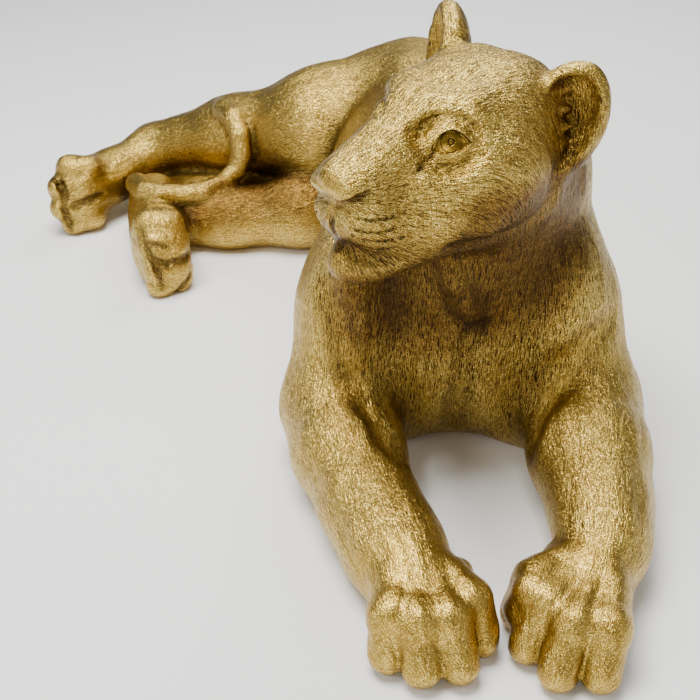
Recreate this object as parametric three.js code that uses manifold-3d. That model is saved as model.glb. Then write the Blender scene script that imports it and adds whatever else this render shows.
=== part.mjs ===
// A lying lioness, cast in one piece: hind legs laid out to its right, forelegs stretched out
// in front, head raised and turned to its left. Millimetres, +Z up, chest towards -Y, origin on
// the floor under the chest.
import * as THREE from 'three';
import { mergeVertices } from 'three/addons/utils/BufferGeometryUtils.js';
import { edgeTable, triTable } from 'three/addons/objects/MarchingCubes.js';
import Module from 'manifold-3d';

// Driving sizes, in millimetres.
const LENGTH = 1170; // toes of the forelegs to the rump
const CELL = LENGTH / 130; // spacing of the lattice that the skin is read from
const EAR_WALL = 11;
const FLOOR_CUT = 14; // how far the form reaches below the floor before it is cut flat

// Fineness of the skin.
const SKIN_TRIANGLES = 9400;
const FINE_HEAD = 9; // how much dearer a fold is on the face than on the flank
const FINE_PAW = 4;

// The pose and the proportions are written as shares of the length: one share is LENGTH / 1.17.
const SHARE = LENGTH / 1.17;
const UNDER_CHEST = 0.130; // how far behind the head's pivot the origin lies, in shares

const scaled = (values) => values.map((v) => v * SHARE);

// A form is a function of a point that gives its distance to the skin, negative inside.
function softMin(a, b, k) {
  const h = Math.max(k - Math.abs(a - b), 0) / k;
  return Math.min(a, b) - h * h * k * 0.25;
}

function join(a, b, share) {
  const k = share * SHARE;
  return (x, y, z) => softMin(a(x, y, z), b(x, y, z), k);
}

function blend(share, ...forms) {
  const k = share * SHARE;
  return (x, y, z) => {
    let d = forms[0](x, y, z);
    for (let i = 1; i < forms.length; i += 1) {
      d = softMin(d, forms[i](x, y, z), k);
    }
    return d;
  };
}

function cut(a, b, share) {
  const k = share * SHARE;
  return (x, y, z) => -softMin(-a(x, y, z), b(x, y, z), k);
}

function mirrored(form) {
  return (x, y, z) => form(Math.abs(x), y, z);
}

function placed(form, at, turned) {
  const [cx, cy, cz] = scaled(at);
  const m = turned.elements;
  return (x, y, z) => {
    const dx = x - cx;
    const dy = y - cy;
    const dz = z - cz;
    return form(
      dx * m[0] + dy * m[1] + dz * m[2],
      dx * m[4] + dy * m[5] + dz * m[6],
      dx * m[8] + dy * m[9] + dz * m[10],
    );
  };
}

function turnedBy(x, y, z, order) {
  const radians = [x, y, z].map(THREE.MathUtils.degToRad);
  return new THREE.Matrix4().makeRotationFromEuler(new THREE.Euler(...radians, order));
}

const turn = (x, y, z) => turnedBy(x, y, z, 'ZYX');
const headTurn = (x, y, z) => turnedBy(x, y, z, 'ZXY');

// A ball swept from a to b while its radius goes from ra to rb.
function cone(from, to, fromRadius, toRadius) {
  const [ax, ay, az] = scaled(from);
  const [bx, by, bz] = scaled(to);
  const ra = fromRadius * SHARE;
  const rb = toRadius * SHARE;
  const ux = bx - ax;
  const uy = by - ay;
  const uz = bz - az;
  const l2 = ux * ux + uy * uy + uz * uz;
  const rr = ra - rb;
  const a2 = l2 - rr * rr;
  const il2 = 1 / l2;
  return (x, y, z) => {
    const px = x - ax;
    const py = y - ay;
    const pz = z - az;
    const s = px * ux + py * uy + pz * uz;
    const t = s - l2;
    const qx = px * l2 - s * ux;
    const qy = py * l2 - s * uy;
    const qz = pz * l2 - s * uz;
    const x2 = qx * qx + qy * qy + qz * qz;
    const s2 = s * s * l2;
    const t2 = t * t * l2;
    const k = Math.sign(rr) * rr * rr * x2;
    if (Math.sign(t) * a2 * t2 > k) {
      return Math.sqrt(x2 + t2) * il2 - rb;
    }
    if (Math.sign(s) * a2 * s2 < k) {
      return Math.sqrt(x2 + s2) * il2 - ra;
    }
    return (Math.sqrt(Math.max(x2 * a2 * il2, 0)) + s * rr) * il2 - ra;
  };
}

// Swept balls through stations of x, y, z and radius.
function chain(share, ...stations) {
  const links = [];
  for (let i = 0; i + 1 < stations.length; i += 1) {
    const [ax, ay, az, ra] = stations[i];
    const [bx, by, bz, rb] = stations[i + 1];
    links.push(cone([ax, ay, az], [bx, by, bz], ra, rb));
  }
  return blend(share, ...links);
}

// An ellipsoid.
function egg(centre, radii, turned) {
  const [rx, ry, rz] = scaled(radii);
  const form = (x, y, z) => {
    const near = Math.hypot(x / rx, y / ry, z / rz);
    const far = Math.hypot(x / (rx * rx), y / (ry * ry), z / (rz * rz));
    return near * (near - 1) / Math.max(far, 1e-9);
  };
  return placed(form, centre, turned ?? new THREE.Matrix4());
}

// An ear: an ellipsoid hollowed from the front, which leaves the wall at its back.
function cup(centre, radii, turned) {
  const wall = EAR_WALL / SHARE;
  const shift = new THREE.Vector3(0, -0.009 - wall, 0.004).applyMatrix4(turned);
  const hollow = egg(
    [centre[0] + shift.x, centre[1] + shift.y, centre[2] + shift.z],
    [radii[0] - wall, radii[1] + 0.002, radii[2] - wall],
    turned,
  );
  return cut(egg(centre, radii, turned), hollow, 0.005);
}

// A paw: heel, pads and a row of toes. across runs over the toes from the first to the last.
function paw(wrist, across, up, size, groove, ...tips) {
  const w = new THREE.Vector3(...wrist);
  const a = new THREE.Vector3(...across).multiplyScalar(size);
  const u = new THREE.Vector3(...up).multiplyScalar(size);
  const ends = tips.map((tip) => new THREE.Vector3(...tip));
  const middle = new THREE.Vector3();
  ends.forEach((end) => middle.addScaledVector(end, 1 / ends.length));
  const between = (share, lift, side) => w.clone().lerp(middle, share).addScaledVector(u, lift).addScaledVector(a, side);
  const heel = cone(between(0.25, -0.004, 0).toArray(), between(0.70, -0.006, 0).toArray(), 0.040 * size, 0.035 * size);
  const pads = cone(between(0.66, -0.010, -0.028).toArray(), between(0.66, -0.010, 0.028).toArray(), 0.029 * size, 0.029 * size);
  const toes = ends.map((end, i) => {
    const root = between(0.34, 0.012, 0.019 * (i - (ends.length - 1) / 2));
    const knuckle = root.clone().lerp(end, 0.62).addScaledVector(u, 0.010);
    const nail = end.clone().addScaledVector(u, -0.015);
    return chain(
      0.010 * size,
      [...root.toArray(), 0.022 * size],
      [...knuckle.toArray(), 0.0225 * size],
      [...nail.toArray(), 0.0205 * size],
    );
  });
  return blend(groove * size, blend(0.020 * size, heel, pads), ...toes);
}

// Body: chest, rib cage, belly and rump, with the neck rising out of the chest.
const trunk = blend(0.055,
  egg([0, 0.115, 0.130], [0.148, 0.160, 0.165]),
  egg([-0.012, 0.300, 0.140], [0.155, 0.230, 0.155]),
  egg([-0.022, 0.470, 0.138], [0.130, 0.200, 0.142]),
  egg([-0.025, 0.620, 0.145], [0.135, 0.125, 0.140], turn(0, -20, 0)),
  cone([0.010, 0.140, 0.230], [0.031, 0.055, 0.350], 0.128, 0.101),
  cone([0, 0.045, 0.190], [0.004, 0.015, 0.310], 0.090, 0.078),
  cone([0.066, 0.085, 0.210], [0.056, 0.080, 0.320], 0.090, 0.082),
  chain(0.050, [0.006, 0.190, 0.285, 0.034], [-0.010, 0.380, 0.252, 0.030], [-0.022, 0.560, 0.250, 0.032],
    [-0.010, 0.700, 0.190, 0.040]),
);
const breast = blend(0.045,
  trunk,
  egg([-0.092, 0.130, 0.245], [0.045, 0.075, 0.062], turn(20, 0, 0)),
  egg([0.094, 0.130, 0.245], [0.045, 0.075, 0.062], turn(20, 0, 0)),
  cone([-0.070, 0.040, 0.110], [-0.088, 0.020, 0.040], 0.060, 0.050),
  cone([0.070, 0.040, 0.110], [0.092, 0.018, 0.040], 0.060, 0.050),
);

// Forelegs: shoulder, upper arm, forearm, wrist, four toes and the dew claw.
const leftFore = blend(0.014,
  blend(0.030,
    egg([0.120, 0.045, 0.190], [0.060, 0.090, 0.105], turn(10, 0, 0)),
    cone([0.131, 0.030, 0.180], [0.148, -0.010, 0.075], 0.060, 0.067),
    chain(0.030, [0.151, -0.020, 0.066, 0.070], [0.148, -0.100, 0.060, 0.064], [0.147, -0.180, 0.050, 0.051],
      [0.142, -0.230, 0.043, 0.043], [0.126, -0.270, 0.040, 0.040]),
  ),
  paw([0.132, -0.256, 0.044], [0.80, -0.60, 0], [0, 0, 1], 1, 0.0095,
    [0.047, -0.300, 0.034], [0.050, -0.343, 0.034], [0.074, -0.376, 0.034], [0.115, -0.378, 0.034]),
  egg([0.090, -0.250, 0.042], [0.014, 0.016, 0.014]),
);
const rightFore = blend(0.014,
  blend(0.030,
    egg([-0.118, 0.045, 0.190], [0.060, 0.090, 0.105], turn(10, 0, 0)),
    cone([-0.126, 0.030, 0.180], [-0.138, -0.010, 0.075], 0.060, 0.064),
    chain(0.030, [-0.139, -0.020, 0.064, 0.066], [-0.127, -0.090, 0.057, 0.060], [-0.103, -0.175, 0.048, 0.050],
      [-0.080, -0.232, 0.043, 0.049], [-0.063, -0.275, 0.040, 0.047]),
  ),
  paw([-0.060, -0.262, 0.044], [0.97, 0.22, 0], [0, 0, 1], 1, 0.0095,
    [-0.088, -0.354, 0.034], [-0.056, -0.372, 0.034], [-0.020, -0.368, 0.034], [0.003, -0.334, 0.034]),
  egg([-0.011, -0.270, 0.041], [0.013, 0.019, 0.012]),
);

// Hind legs: both lie out to the right, the far one on top.
const farHind = blend(0.014,
  blend(0.022,
    blend(0.032,
      cone([-0.020, 0.630, 0.185], [-0.165, 0.600, 0.172], 0.108, 0.090),
      chain(0.030, [-0.165, 0.600, 0.168, 0.086], [-0.320, 0.660, 0.128, 0.060], [-0.462, 0.705, 0.086, 0.041]),
    ),
    chain(0.020, [-0.465, 0.700, 0.080, 0.041], [-0.530, 0.640, 0.062, 0.042], [-0.562, 0.600, 0.058, 0.046]),
  ),
  paw([-0.556, 0.640, 0.062], [0, 0, -1], [0.90, -0.35, 0], 0.95, 0.0125,
    [-0.572, 0.574, 0.106], [-0.586, 0.554, 0.078], [-0.584, 0.544, 0.046], [-0.570, 0.546, 0.018]),
);
const nearHind = blend(0.014,
  blend(0.022,
    blend(0.030,
      cone([-0.030, 0.600, 0.090], [-0.205, 0.524, 0.056], 0.095, 0.056),
      chain(0.030, [-0.205, 0.524, 0.052, 0.054], [-0.320, 0.520, 0.044, 0.045], [-0.430, 0.520, 0.042, 0.042]),
    ),
    chain(0.020, [-0.448, 0.570, 0.056, 0.040], [-0.428, 0.470, 0.050, 0.046]),
  ),
  paw([-0.425, 0.455, 0.052], [0, 0, -1], [0.95, -0.25, 0], 1.05, 0.0125,
    [-0.412, 0.386, 0.100], [-0.402, 0.362, 0.074], [-0.397, 0.350, 0.044], [-0.397, 0.352, 0.016]),
);
const web = egg([-0.310, 0.605, 0.020], [0.180, 0.105, 0.062]);

// Tail: round the rump, over the far hind leg and along the near one, ending at its hock.
const tail = chain(0.001, [0, 0.730, 0.110, 0.034], [-0.090, 0.716, 0.076, 0.030], [-0.190, 0.690, 0.085, 0.027],
  [-0.270, 0.722, 0.100, 0.024], [-0.325, 0.712, 0.140, 0.021], [-0.340, 0.668, 0.168, 0.020],
  [-0.330, 0.630, 0.182, 0.019], [-0.312, 0.596, 0.183, 0.018], [-0.301, 0.572, 0.165, 0.0175],
  [-0.299, 0.560, 0.137, 0.0170], [-0.308, 0.552, 0.112, 0.0165], [-0.328, 0.533, 0.100, 0.0160],
  [-0.355, 0.512, 0.096, 0.0160], [-0.389, 0.503, 0.093, 0.0165], [-0.421, 0.495, 0.096, 0.0175],
  [-0.450, 0.510, 0.095, 0.0185], [-0.468, 0.545, 0.092, 0.0190]);

// Head, in its own frame: x to the lioness's left, y to the back, z up.
const skull = blend(0.026,
  egg([0, 0.010, 0.012], [0.084, 0.094, 0.088]),
  egg([0.030, 0.020, 0.046], [0.045, 0.060, 0.050]),
  egg([0, -0.036, 0.044], [0.046, 0.052, 0.042]),
  cone([0, -0.085, 0.029], [0, -0.166, -0.016], 0.026, 0.0215),
  cone([0.014, -0.085, 0.026], [0.015, -0.160, -0.017], 0.024, 0.0190),
  egg([0.044, -0.030, 0.010], [0.032, 0.056, 0.054]),
  cone([0.018, -0.084, 0.046], [0.044, -0.062, 0.052], 0.012, 0.014),
);
const muzzle = blend(0.016,
  skull,
  egg([0.021, -0.140, -0.050], [0.025, 0.044, 0.031]),
  cone([0.020, -0.140, -0.066], [0.040, -0.085, -0.056], 0.020, 0.032),
  egg([0, -0.160, -0.052], [0.016, 0.026, 0.028]),
);
const jaw = blend(0.018,
  egg([0, -0.142, -0.102], [0.025, 0.036, 0.025]),
  cone([0.012, -0.128, -0.094], [0.046, -0.040, -0.052], 0.026, 0.036),
);
const cheeks = blend(0.030,
  blend(0.012, muzzle, jaw),
  egg([0.054, -0.002, -0.022], [0.042, 0.086, 0.058]),
  cone([0.040, -0.104, -0.014], [0.068, -0.020, -0.004], 0.018, 0.032),
);
const looking = turn(-6, -14.5, 53);
const socket = cut(
  cut(cheeks, egg([0.0655, -0.0982, 0.0233], [0.027, 0.0165, 0.022], looking), 0.010),
  egg([0.040, -0.113, 0.035], [0.016, 0.016, 0.012], turn(0, 0, 40)),
  0.012,
);
const face = blend(0.008,
  blend(0.006, socket, egg([0.0420, -0.0798, 0.0203], [0.027, 0.020, 0.022], looking)),
  egg([0, -0.178, -0.016], [0.028, 0.022, 0.0175]),
  egg([0.019, -0.180, -0.023], [0.012, 0.014, 0.011]),
);
const mouthLine = chain(0.006, [0, -0.186, -0.082, 0.0045], [0.014, -0.180, -0.088, 0.0050], [0.030, -0.160, -0.091, 0.0055],
  [0.050, -0.122, -0.094, 0.0045]);
const nearEar = cup([0.079, 0.044, 0.041], [0.043, 0.026, 0.067], turn(4, 16, 34));
const farEar = cup([-0.085, 0.041, 0.063], [0.049, 0.027, 0.073], turn(4, -12, -34));
const head = placed(
  blend(0.010,
    mirrored(cut(face, mouthLine, 0.008)),
    nearEar,
    farEar,
  ),
  [0, 0, 0.393], headTurn(-11, -3, -49),
);

// The two sides are joined to the body one by one, so that the paws stay apart.
const front = join(
  blend(0.030, breast, leftFore),
  blend(0.030, breast, rightFore),
  0.002,
);
const figure = blend(0.006,
  blend(0.020,
    join(blend(0.034, front, farHind), head, 0.020),
    web,
    nearHind,
  ),
  tail,
);

// Box that the lattice fills, in shares.
const LOW = [-0.66, -0.44, -0.03];
const HIGH = [0.26, 0.82, 0.55];

const cast = (x, y, z) => Math.max(figure(x, y, z), -FLOOR_CUT - z);

// Reads the skin of a form off a lattice of cells. Neighbouring cells share their edge points.
function skinOf(form) {
  const low = scaled(LOW);
  const count = HIGH.map((h, i) => Math.ceil((h * SHARE - low[i]) / CELL) + 1);
  const [nx, ny, nz] = count;
  const row = nx;
  const sheet = nx * ny;
  const values = new Float64Array(nx * ny * nz);
  const coarse = 3;
  const far = coarse * CELL * 1.9;
  for (let k = 0; k < nz; k += coarse) {
    for (let j = 0; j < ny; j += coarse) {
      for (let i = 0; i < nx; i += coarse) {
        const middle = form(low[0] + (i + 1) * CELL, low[1] + (j + 1) * CELL, low[2] + (k + 1) * CELL);
        for (let c = k; c < Math.min(k + coarse, nz); c += 1) {
          for (let b = j; b < Math.min(j + coarse, ny); b += 1) {
            for (let a = i; a < Math.min(i + coarse, nx); a += 1) {
              values[a + b * row + c * sheet] = Math.abs(middle) > far
                ? middle
                : form(low[0] + a * CELL, low[1] + b * CELL, low[2] + c * CELL);
            }
          }
        }
      }
    }
  }
  // The twelve edges of a cell, as the corner they start from and the way they run.
  const edges = [
    [0, 0, 0, 0], [1, 0, 0, 1], [0, 1, 0, 0], [0, 0, 0, 1],
    [0, 0, 1, 0], [1, 0, 1, 1], [0, 1, 1, 0], [0, 0, 1, 1],
    [0, 0, 0, 2], [1, 0, 0, 2], [1, 1, 0, 2], [0, 1, 0, 2],
  ];
  const corners = [[0, 0, 0], [1, 0, 0], [1, 1, 0], [0, 1, 0], [0, 0, 1], [1, 0, 1], [1, 1, 1], [0, 1, 1]];
  const strides = [1, row, sheet];
  const points = [];
  const triangles = [];
  const known = new Map();
  const pointOn = (i, j, k, edge) => {
    const [di, dj, dk, way] = edges[edge];
    const start = (i + di) + (j + dj) * row + (k + dk) * sheet;
    const key = start * 3 + way;
    if (!known.has(key)) {
      const a = values[start];
      const b = values[start + strides[way]];
      const at = [i + di, j + dj, k + dk];
      at[way] += Math.min(Math.max(a / (a - b), 0.04), 0.96);
      known.set(key, points.length);
      points.push(at.map((v, axis) => low[axis] + v * CELL));
    }
    return known.get(key);
  };
  for (let k = 0; k + 1 < nz; k += 1) {
    for (let j = 0; j + 1 < ny; j += 1) {
      for (let i = 0; i + 1 < nx; i += 1) {
        let index = 0;
        corners.forEach(([a, b, c], bit) => {
          if (values[(i + a) + (j + b) * row + (k + c) * sheet] > 0) {
            index |= 1 << bit;
          }
        });
        if (edgeTable[index] === 0) {
          continue;
        }
        for (let t = index * 16; triTable[t] !== -1; t += 3) {
          triangles.push([triTable[t], triTable[t + 1], triTable[t + 2]].map((edge) => pointOn(i, j, k, edge)));
        }
      }
    }
  }
  return { points, triangles };
}

// Keeps the largest connected skin, so that pockets where forms meet are filled in.
function outermost({ points, triangles }) {
  const parent = points.map((_, i) => i);
  const rootOf = (i) => {
    let r = i;
    while (parent[r] !== r) {
      parent[r] = parent[parent[r]];
      r = parent[r];
    }
    return r;
  };
  triangles.forEach(([a, b, c]) => {
    parent[rootOf(a)] = rootOf(b);
    parent[rootOf(b)] = rootOf(c);
  });
  const tally = new Map();
  triangles.forEach(([a]) => tally.set(rootOf(a), (tally.get(rootOf(a)) ?? 0) + 1));
  const largest = [...tally.entries()].reduce((a, b) => (b[1] > a[1] ? b : a))[0];
  return { points, triangles: triangles.filter(([a]) => rootOf(a) === largest) };
}

// How much a place counts when the skin is made coarser: the face most, then the paws.
function worth(x, y, z) {
  const face = Math.exp(-(((x + 60) / 110) ** 2 + ((y + 60) / 110) ** 2 + ((z - 400) / 120) ** 2));
  const toes = Math.exp(-(((x - 20) / 150) ** 2 + ((y + 350) / 70) ** 2));
  return 1 + FINE_HEAD * face + FINE_PAW * toes;
}

// Folds the shortest-changing edges away until the wanted number of triangles is left. Each
// point carries the sum of squared distances to the planes that have met in it.
function coarser(skin, wanted) {
  const points = skin.points.map((p) => new THREE.Vector3(...p));
  const faces = skin.triangles.map((t) => [...t]);
  const around = points.map(() => new Set());
  faces.forEach((f, i) => f.forEach((v) => around[v].add(i)));
  const forms = points.map(() => new Float64Array(10));
  const stamp = new Uint32Array(points.length);
  const side = new THREE.Vector3();
  const other = new THREE.Vector3();
  const normalOf = (a, b, c) => side.subVectors(b, a).cross(other.subVectors(c, a));
  faces.forEach((f) => {
    const n = normalOf(points[f[0]], points[f[1]], points[f[2]]).clone();
    const area = n.length() / 2;
    n.normalize();
    const d = -n.dot(points[f[0]]);
    const centre = points[f[0]];
    const weight = area * worth(centre.x, centre.y, centre.z);
    const plane = [n.x * n.x, n.x * n.y, n.x * n.z, n.x * d, n.y * n.y, n.y * n.z, n.y * d, n.z * n.z, n.z * d, d * d];
    f.forEach((v) => plane.forEach((value, i) => { forms[v][i] += value * weight; }));
  });
  const error = (q, p) => {
    const { x, y, z } = p;
    return q[0] * x * x + 2 * q[1] * x * y + 2 * q[2] * x * z + 2 * q[3] * x + q[4] * y * y
      + 2 * q[5] * y * z + 2 * q[6] * y + q[7] * z * z + 2 * q[8] * z + q[9];
  };
  const matrix = new THREE.Matrix3();
  const best = (a, b) => {
    const q = forms[a].map((v, i) => v + forms[b][i]);
    const middle = points[a].clone().add(points[b]).multiplyScalar(0.5);
    const choices = [middle, points[a].clone(), points[b].clone()];
    matrix.set(q[0], q[1], q[2], q[1], q[4], q[5], q[2], q[5], q[7]);
    const size = (q[0] + q[4] + q[7]) / 3;
    if (Math.abs(matrix.determinant()) > 1e-3 * size ** 3) {
      const solved = new THREE.Vector3(-q[3], -q[6], -q[8]).applyMatrix3(matrix.invert());
      if (solved.distanceTo(middle) < 1.5 * points[a].distanceTo(points[b])) {
        choices.push(solved);
      }
    }
    let chosen = middle;
    let least = Infinity;
    choices.forEach((p) => {
      const e = error(q, p);
      if (e < least) {
        least = e;
        chosen = p;
      }
    });
    // A little of the edge's own length keeps the triangles even on flat places.
    return { cost: Math.max(least, 0) + 1e-4 * points[a].distanceToSquared(points[b]) ** 1.5, place: chosen };
  };
  // Binary heap of the edges, cheapest first.
  const heap = [];
  const push = (item) => {
    let i = heap.length;
    heap.push(item);
    while (i > 0) {
      const parent = (i - 1) >> 1;
      if (heap[parent].cost <= item.cost) {
        break;
      }
      heap[i] = heap[parent];
      i = parent;
    }
    heap[i] = item;
  };
  const pop = () => {
    const top = heap[0];
    const last = heap.pop();
    if (heap.length > 0) {
      let i = 0;
      for (;;) {
        let child = 2 * i + 1;
        if (child >= heap.length) {
          break;
        }
        if (child + 1 < heap.length && heap[child + 1].cost < heap[child].cost) {
          child += 1;
        }
        if (heap[child].cost >= last.cost) {
          break;
        }
        heap[i] = heap[child];
        i = child;
      }
      heap[i] = last;
    }
    return top;
  };
  const offer = (a, b) => {
    const { cost, place } = best(a, b);
    push({ cost, place, a, b, stamps: stamp[a] + stamp[b] });
  };
  const ring = (v) => {
    const near = new Set();
    around[v].forEach((f) => faces[f].forEach((w) => near.add(w)));
    near.delete(v);
    return near;
  };
  // A fold may not pinch the skin and may not turn a triangle over or make it a sliver.
  const allowed = (a, b, place) => {
    const ringA = ring(a);
    let shared = 0;
    ring(b).forEach((v) => { shared += ringA.has(v) ? 1 : 0; });
    if (shared !== 2) {
      return false;
    }
    const moved = [[a, b], [b, a]];
    return moved.every(([v, gone]) => [...around[v]].every((f) => {
      if (faces[f].includes(gone)) {
        return true;
      }
      const old = normalOf(...faces[f].map((w) => points[w])).clone();
      const corners = faces[f].map((w) => (w === v ? place : points[w]));
      const after = normalOf(...corners).clone();
      const longest = Math.max(
        corners[0].distanceTo(corners[1]),
        corners[1].distanceTo(corners[2]),
        corners[2].distanceTo(corners[0]),
      );
      const area = after.length();
      const oldLongest = Math.max(...faces[f].map((w, i) => points[w].distanceTo(points[faces[f][(i + 1) % 3]])));
      const fair = Math.min(0.08, 0.9 * old.length() / oldLongest ** 2);
      return old.dot(after) > 0.35 * old.length() * area && area > fair * longest * longest;
    }));
  };
  const offerAll = () => faces.forEach((f) => f?.forEach((v, i) => {
    const w = f[(i + 1) % 3];
    if (v < w) {
      offer(v, w);
    }
  }));
  let left = faces.length;
  let before = Infinity;
  while (left > wanted) {
    if (heap.length === 0) {
      if (left >= before) {
        break;
      }
      before = left;
      offerAll();
    }
    const { a, b, place, stamps } = pop();
    if (around[a].size === 0 || around[b].size === 0 || stamps !== stamp[a] + stamp[b] || !allowed(a, b, place)) {
      continue;
    }
    points[a].copy(place);
    forms[b].forEach((v, i) => { forms[a][i] += v; });
    [...around[b]].forEach((f) => {
      if (faces[f].includes(a)) {
        faces[f].forEach((v) => around[v].delete(f));
        faces[f] = null;
        left -= 1;
      } else {
        faces[f] = faces[f].map((v) => (v === b ? a : v));
        around[a].add(f);
      }
    });
    around[b].clear();
    stamp[a] += 1;
    stamp[b] += 1;
    ring(a).forEach((v) => offer(a, v));
  }
  return { points, faces: faces.filter((f) => f !== null) };
}

function geometryOf({ points, faces }) {
  const geometry = new THREE.BufferGeometry();
  geometry.setAttribute('position', new THREE.Float32BufferAttribute(points.flatMap((p) => p.toArray()), 3));
  geometry.setIndex(faces.flat());
  const bare = geometry.toNonIndexed();
  return mergeVertices(bare, 1e-4);
}

const wasm = await Module();
wasm.setup();

function solidOf(source) {
  const geometry = source.clone();
  geometry.deleteAttribute('normal');
  geometry.deleteAttribute('uv');
  const merged = mergeVertices(geometry, 1e-4);
  return new wasm.Manifold(new wasm.Mesh({
    numProp: 3,
    vertProperties: new Float32Array(merged.attributes.position.array),
    triVerts: new Uint32Array(merged.index.array),
  }));
}

// The floor is cut off flat, so that the casting lies on its own underside.
const body = solidOf(geometryOf(coarser(outermost(skinOf(cast)), SKIN_TRIANGLES)));
const below = new THREE.BoxGeometry(3 * LENGTH, 3 * LENGTH, LENGTH);
below.translate(0, 0, -LENGTH / 2);
const finished = body.subtract(solidOf(below)).getMesh();

const lionessGeometry = new THREE.BufferGeometry();
lionessGeometry.setAttribute('position', new THREE.BufferAttribute(new Float32Array(finished.vertProperties), 3));
lionessGeometry.setIndex(new THREE.BufferAttribute(new Uint32Array(finished.triVerts), 1));
lionessGeometry.computeVertexNormals();

const goldLeaf = new THREE.MeshStandardMaterial({ color: 0xb8934a, roughness: 0.38, metalness: 0.9 });
const lioness = new THREE.Mesh(lionessGeometry, goldLeaf);
lioness.name = 'lioness';
lioness.position.y = -UNDER_CHEST * SHARE;

const ornament = new THREE.Group();
ornament.add(lioness);

export default ornament;
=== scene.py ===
import math
import bpy
import numpy as np
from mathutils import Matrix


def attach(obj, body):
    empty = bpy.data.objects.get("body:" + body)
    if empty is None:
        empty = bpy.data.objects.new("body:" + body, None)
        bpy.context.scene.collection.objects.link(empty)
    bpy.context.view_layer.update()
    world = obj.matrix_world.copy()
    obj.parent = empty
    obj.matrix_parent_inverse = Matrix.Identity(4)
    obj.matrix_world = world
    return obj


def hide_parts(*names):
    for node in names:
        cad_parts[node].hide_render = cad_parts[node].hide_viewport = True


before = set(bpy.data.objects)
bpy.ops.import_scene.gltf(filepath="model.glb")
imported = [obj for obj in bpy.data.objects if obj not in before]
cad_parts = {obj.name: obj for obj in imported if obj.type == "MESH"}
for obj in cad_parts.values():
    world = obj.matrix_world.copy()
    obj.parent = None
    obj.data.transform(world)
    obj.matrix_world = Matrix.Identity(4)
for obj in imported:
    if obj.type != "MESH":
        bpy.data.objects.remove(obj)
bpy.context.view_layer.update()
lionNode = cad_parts["lioness"]
print("frame loaded")

f32 = np.float32

# The figure is a field: each form gives a point's distance to its skin, negative inside.
# The forms are written round the head's pivot, which lies this far in front of the origin.
pivotAhead = np.array([0, 0.130, 0], f32)


def softMin(a, b, k):
    # the smaller of the two, rounded where they differ by less than k
    h = np.maximum(k - np.abs(a - b), 0) / k
    return np.minimum(a, b) - h * h * k * 0.25


def join(a, b, k):
    # both forms as one, the seam rounded over k
    return lambda p: softMin(a(p), b(p), k)


def blend(k, *forms):
    # each form joined to all the ones before it
    def form(p):
        d = forms[0](p)
        for other in forms[1:]:
            d = softMin(d, other(p), k)
        return d
    return form


def cut(a, b, k):
    # a with b taken out of it, the edge rounded over k
    return lambda p: -softMin(-a(p), b(p), k)


def oneSide(p):
    # the points, those on the right taken over to the left
    q = p.copy()
    q[:, 0] = np.abs(q[:, 0])
    return q


def mirrored(a):
    # the left half of a on both sides
    return lambda p: a(oneSide(p))


def placed(a, at, turned):
    # a turned and then moved to its place
    at = np.array(at, f32)
    return lambda p: a((p - at) @ turned)


def around(lo, hi, a, far=0.06):
    # a is only worked out within far of the box; elsewhere the distance to the box stands for it
    lo, hi = np.array(lo, f32), np.array(hi, f32)

    def form(p):
        gap = np.sqrt((np.maximum(np.maximum(lo - p, p - hi), 0) ** 2).sum(1))
        d = gap + 0.02
        close = gap < far
        if close.any():
            d[close] = a(p[close])
        return d
    return form


def cone(a, b, ra, rb):
    # a ball swept from a to b while its radius goes from ra to rb: the distance to the ball at
    # either end, or to the straight side between them
    a, b = np.array(a, f32), np.array(b, f32)
    ba = b - a
    l2 = float(ba @ ba)
    rr = ra - rb
    a2 = l2 - rr * rr
    il2 = 1.0 / l2

    def form(p):
        pa = p - a
        y = pa @ ba
        z = y - l2
        q = pa * l2 - y[:, None] * ba
        x2 = np.einsum("ij,ij->i", q, q)
        y2 = y * y * l2
        z2 = z * z * l2
        k = np.sign(rr) * rr * rr * x2
        past = np.sqrt(x2 + z2) * il2 - rb
        before = np.sqrt(x2 + y2) * il2 - ra
        beside = (np.sqrt(np.maximum(x2 * a2 * il2, 0)) + y * rr) * il2 - ra
        d = np.where(np.sign(y) * a2 * y2 < k, before, beside)
        return np.where(np.sign(z) * a2 * z2 > k, past, d)
    return form


def chain(k, *stations):
    # swept balls through stations of x, y, z and radius
    return blend(k, *[cone(s[:3], t[:3], s[3], t[3]) for s, t in zip(stations[:-1], stations[1:])])


def aboutAxis(axis, degrees):
    # the turn about x, y or z: cosines on the diagonal, sines beside it
    c, s = math.cos(math.radians(degrees)), math.sin(math.radians(degrees))
    i, j = [(1, 2), (2, 0), (0, 1)][axis]
    m = np.eye(3)
    m[i, i] = m[j, j] = c
    m[i, j], m[j, i] = -s, s
    return m


def turn(x, y, z):
    # about x first, then y, then z
    return (aboutAxis(2, z) @ aboutAxis(1, y) @ aboutAxis(0, x)).astype(f32)


def headTurn(x, y, z):
    # about y first, then x, then z
    return (aboutAxis(2, z) @ aboutAxis(0, x) @ aboutAxis(1, y)).astype(f32)


def egg(centre, radii, turned=None):
    # an ellipsoid: the point's reach in radii, less one, over the slope of that reach
    centre, radii = np.array(centre, f32), np.array(radii, f32)

    def form(p):
        q = p - centre
        if turned is not None:
            q = q @ turned
        q = q / radii
        near = np.sqrt((q * q).sum(1))
        far = np.sqrt(((q / radii) ** 2).sum(1))
        return near * (near - 1) / np.maximum(far, 1e-9)
    return form


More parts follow.
